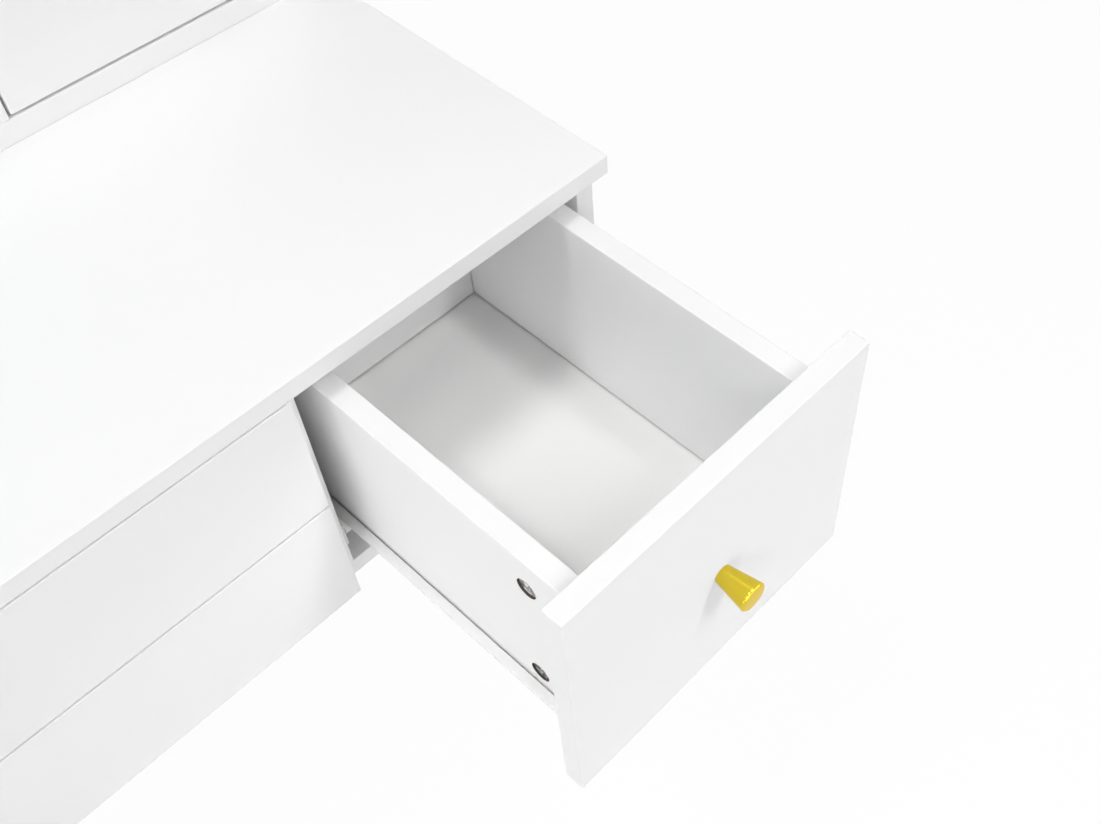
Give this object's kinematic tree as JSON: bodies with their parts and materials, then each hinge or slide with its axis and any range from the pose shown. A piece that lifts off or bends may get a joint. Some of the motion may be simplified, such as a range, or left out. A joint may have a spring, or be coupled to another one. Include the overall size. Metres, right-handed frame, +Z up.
{
  "type": "dressing table",
  "caption": "White board dressing table with shallow and deep drawers on roller runners, tapered legs, and a hutch with a mirror and a pivot-hung cupboard door.",
  "frame": {"origin": "on the floor, under the middle of the box round the table with its deep drawer open 214 mm", "axes": "+X to the right of a person facing the drawers, +Y to the back, +Z up"},
  "size_m": [0.8, 0.64, 1.35],
  "materials": {
    "white_board": "satin white laminate on particle board",
    "thin_board": "white faced hardboard",
    "white_lacquer": "satin white lacquer on turned wood",
    "dowel_wood": "bare beech",
    "gold_plate": "polished gold plating",
    "cam_steel": "nickel plated zinc die casting",
    "coated_steel": "white epoxy coating",
    "roller_nylon": "moulded nylon",
    "zinc_plate": "bright zinc plating",
    "glide_plastic": "moulded plastic",
    "mirror_glass": "silvered float glass"
  },
  "bodies": {
    "table": {"table_top": "white_board", "end_panel_left": "white_board", "end_panel_right": "white_board", "table_partition": "white_board", "table_floor": "white_board", "table_back": "thin_board", "leg_front_left": "white_lacquer", "leg_front_right": "white_lacquer", "leg_back_left": "white_lacquer", "leg_back_right": "white_lacquer", "leg_plates": "zinc_plate", "leg_plate_screws": "zinc_plate", "leg_glides": "glide_plastic", "hutch_base": "white_board", "hutch_top": "white_board", "hutch_side_left": "white_board", "hutch_side_right": "white_board", "hutch_partition": "white_board", "hutch_back": "thin_board", "hutch_shelf_lower": "white_board", "hutch_shelf_upper": "white_board", "mirror": "mirror_glass", "hutch_screws": "zinc_plate", "board_dowels": "dowel_wood", "upper_cabinet_runners": "coated_steel", "lower_cabinet_runners": "coated_steel", "deep_cabinet_runners": "coated_steel"},
    "upper_drawer": {"upper_drawer_front": "white_board", "upper_drawer_side_left": "white_board", "upper_drawer_side_right": "white_board", "upper_drawer_back": "white_board", "upper_drawer_bottom": "thin_board", "upper_drawer_knob": "gold_plate", "upper_drawer_fittings": "cam_steel", "upper_drawer_runners": "coated_steel"},
    "upper_front_rollers": {"upper_front_rollers": "roller_nylon"},
    "upper_rear_rollers": {"upper_rear_rollers": "roller_nylon"},
    "lower_drawer": {"lower_drawer_front": "white_board", "lower_drawer_side_left": "white_board", "lower_drawer_side_right": "white_board", "lower_drawer_back": "white_board", "lower_drawer_bottom": "thin_board", "lower_drawer_knob": "gold_plate", "lower_drawer_fittings": "cam_steel", "lower_drawer_runners": "coated_steel"},
    "lower_front_rollers": {"lower_front_rollers": "roller_nylon"},
    "lower_rear_rollers": {"lower_rear_rollers": "roller_nylon"},
    "deep_drawer": {"deep_drawer_front": "white_board", "deep_drawer_side_left": "white_board", "deep_drawer_side_right": "white_board", "deep_drawer_back": "white_board", "deep_drawer_bottom": "thin_board", "deep_drawer_knob": "gold_plate", "deep_drawer_fittings": "cam_steel", "deep_drawer_runners": "coated_steel"},
    "deep_front_rollers": {"deep_front_rollers": "roller_nylon"},
    "deep_rear_rollers": {"deep_rear_rollers": "roller_nylon"},
    "cupboard_door": {"door": "white_board", "door_knob": "gold_plate", "door_pivots": "zinc_plate"}
  },
  "joints": [
    {"name": "upper_drawer_slide", "type": "slide", "parent": "table", "child": "upper_drawer", "axis": [0, -1, 0], "range_m": [0, 0.22]},
    {"name": "upper_front_roll", "type": "hinge", "parent": "table", "child": "upper_front_rollers", "pos_m": [-0.12425, -0.053, 0.6473], "axis": [1, 0, 0], "range_deg": [-0.5, 1537.7]},
    {"name": "upper_rear_roll", "type": "hinge", "parent": "upper_drawer", "child": "upper_rear_rollers", "pos_m": [-0.12425, 0.225, 0.6473], "axis": [1, 0, 0], "range_deg": [-0.5, 1537.7]},
    {"name": "lower_drawer_slide", "type": "slide", "parent": "table", "child": "lower_drawer", "axis": [0, -1, 0], "range_m": [0, 0.22]},
    {"name": "lower_front_roll", "type": "hinge", "parent": "table", "child": "lower_front_rollers", "pos_m": [-0.12425, -0.053, 0.5518], "axis": [1, 0, 0], "range_deg": [-0.5, 1537.7]},
    {"name": "lower_rear_roll", "type": "hinge", "parent": "lower_drawer", "child": "lower_rear_rollers", "pos_m": [-0.12425, 0.225, 0.5518], "axis": [1, 0, 0], "range_deg": [-0.5, 1537.7]},
    {"name": "deep_drawer_slide", "type": "slide", "parent": "table", "child": "deep_drawer", "axis": [0, -1, 0], "range_m": [-0.214, 0.006]},
    {"name": "deep_front_roll", "type": "hinge", "parent": "table", "child": "deep_front_rollers", "pos_m": [0.26825, -0.053, 0.5638], "axis": [1, 0, 0], "range_deg": [-1495.8, 42.4]},
    {"name": "deep_rear_roll", "type": "hinge", "parent": "deep_drawer", "child": "deep_rear_rollers", "pos_m": [0.26825, 0.011, 0.5638], "axis": [1, 0, 0], "range_deg": [-1495.8, 42.4]},
    {"name": "cupboard_door_hinge", "type": "hinge", "parent": "table", "child": "cupboard_door", "pos_m": [0.36361, 0.2185, 1.0515], "axis": [0, 0, 1], "range_deg": [0, 95]}
  ],
  "couplings": [
    {"joint": "upper_front_roll", "follows": "upper_drawer_slide", "rad_per_m": 121.95},
    {"joint": "upper_rear_roll", "follows": "upper_drawer_slide", "rad_per_m": 121.95},
    {"joint": "lower_front_roll", "follows": "lower_drawer_slide", "rad_per_m": 121.95},
    {"joint": "lower_rear_roll", "follows": "lower_drawer_slide", "rad_per_m": 121.95},
    {"joint": "deep_front_roll", "follows": "deep_drawer_slide", "rad_per_m": 121.95},
    {"joint": "deep_rear_roll", "follows": "deep_drawer_slide", "rad_per_m": 121.95}
  ]
}
